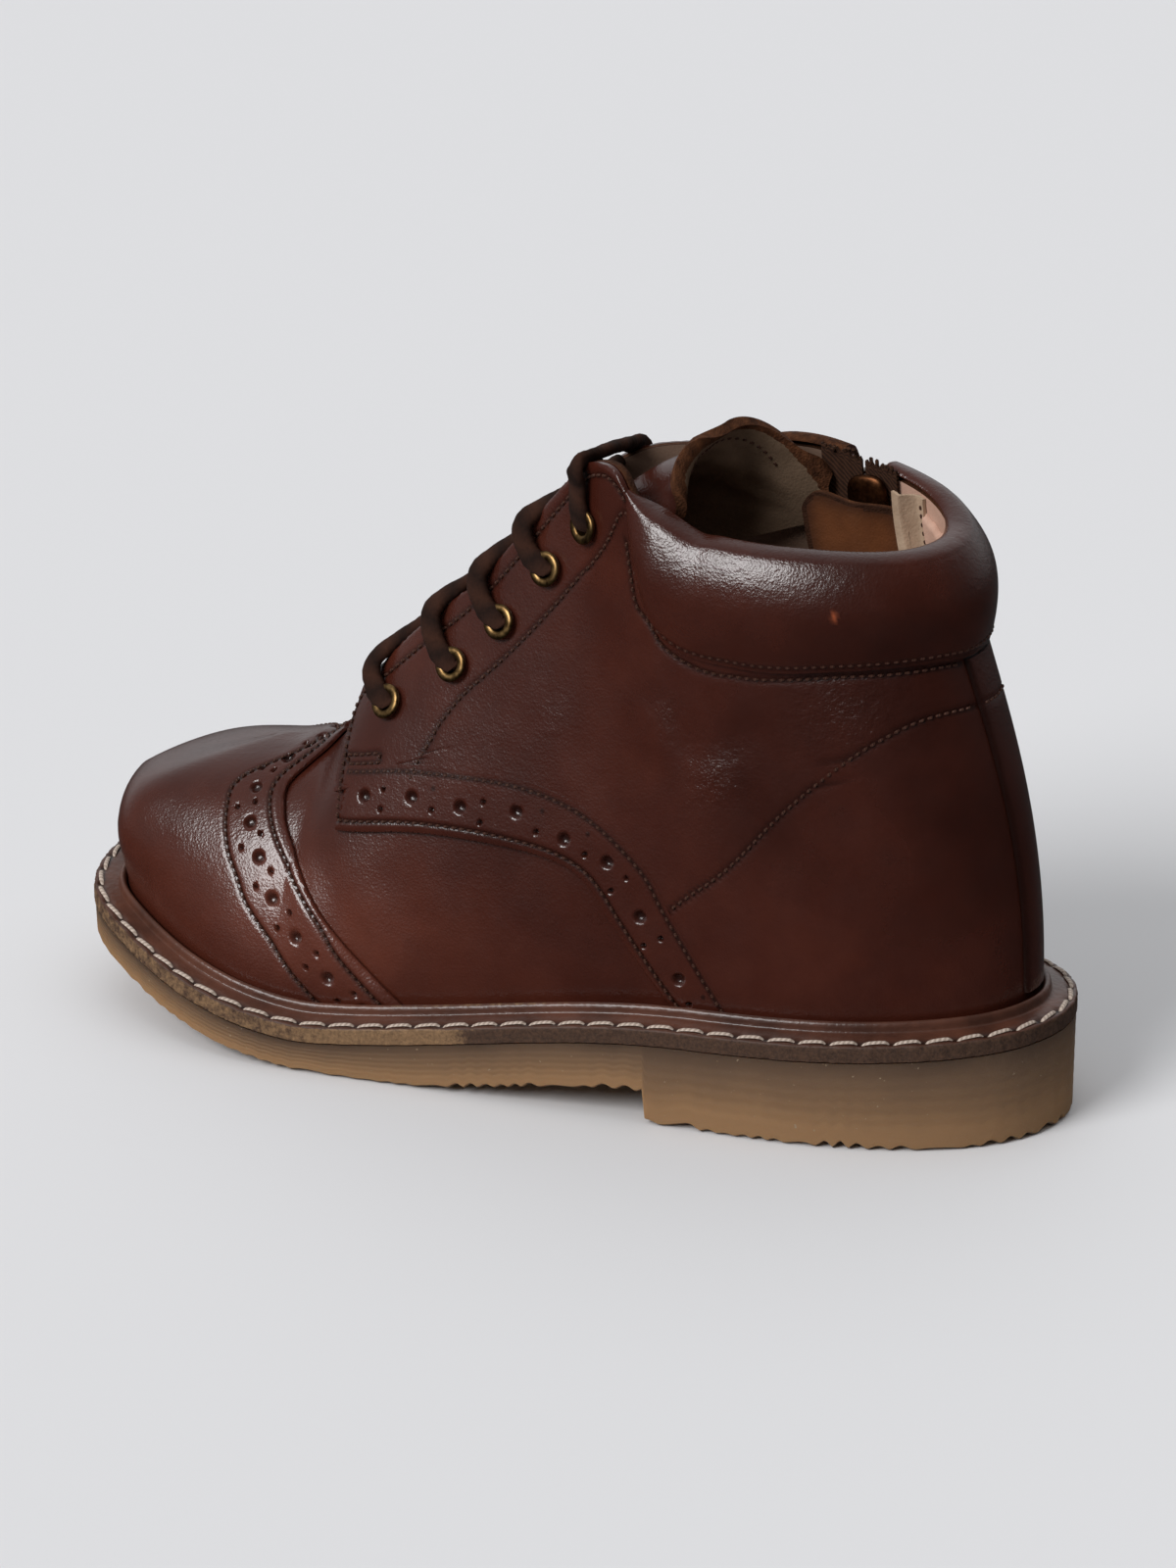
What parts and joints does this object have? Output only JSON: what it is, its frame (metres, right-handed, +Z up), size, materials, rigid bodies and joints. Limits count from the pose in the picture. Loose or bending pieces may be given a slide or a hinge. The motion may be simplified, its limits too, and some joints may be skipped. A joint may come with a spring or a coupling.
{
  "type": "brogue ankle boot",
  "caption": "Child's left brogue ankle boot: wing toe cap, laced facings over a tongue, padded collar, side zip with a hinged pull tab, and a welted gum sole.",
  "frame": {"origin": "on the floor, under the middle of the boot's bounding box", "axes": "+X from heel to toe, +Y to the lateral side, +Z up"},
  "size_m": [0.193, 0.0754, 0.1241],
  "materials": {
    "leather": "polished red-brown",
    "welt_leather": "dark brown, worn at the edge",
    "tongue_leather": "soft brown",
    "flap_leather": "matt brown",
    "lining": "taupe",
    "rubber": "gum",
    "eyelet_metal": "antique",
    "lace": "dark brown braid",
    "zip_tape": "woven",
    "zip_metal": "dull"
  },
  "bodies": {
    "boot": {"outsole": "rubber", "welt": "welt_leather", "insole": "lining", "upper": "leather", "toe_cap": "leather", "quarter_lateral": "leather", "quarter_medial": "leather", "back_strip": "leather", "collar": "leather", "collar_front": "leather", "tongue": "tongue_leather", "eyelet_lateral_1": "eyelet_metal", "eyelet_lateral_2": "eyelet_metal", "eyelet_lateral_3": "eyelet_metal", "eyelet_lateral_4": "eyelet_metal", "eyelet_lateral_5": "eyelet_metal", "eyelet_medial_1": "eyelet_metal", "eyelet_medial_2": "eyelet_metal", "eyelet_medial_3": "eyelet_metal", "eyelet_medial_4": "eyelet_metal", "eyelet_medial_5": "eyelet_metal", "lace_crossing_1": "lace", "lace_crossing_2": "lace", "lace_crossing_3": "lace", "lace_crossing_4": "lace", "lace_bar": "lace", "zip_tape_front": "zip_tape", "zip_tape_rear": "zip_tape", "zip_chain": "zip_metal", "zip_slider": "zip_metal", "zip_guard_flap": "flap_leather"},
    "pull_tab": {"zip_pull": "zip_metal"}
  },
  "joints": [
    {"name": "pull_tab_hinge", "type": "hinge", "parent": "boot", "child": "pull_tab", "pos_m": [-0.04974, -0.02608, 0.10714], "axis": [-0.9769, 0.1614, 0.1401], "range_deg": [0, 150]}
  ]
}
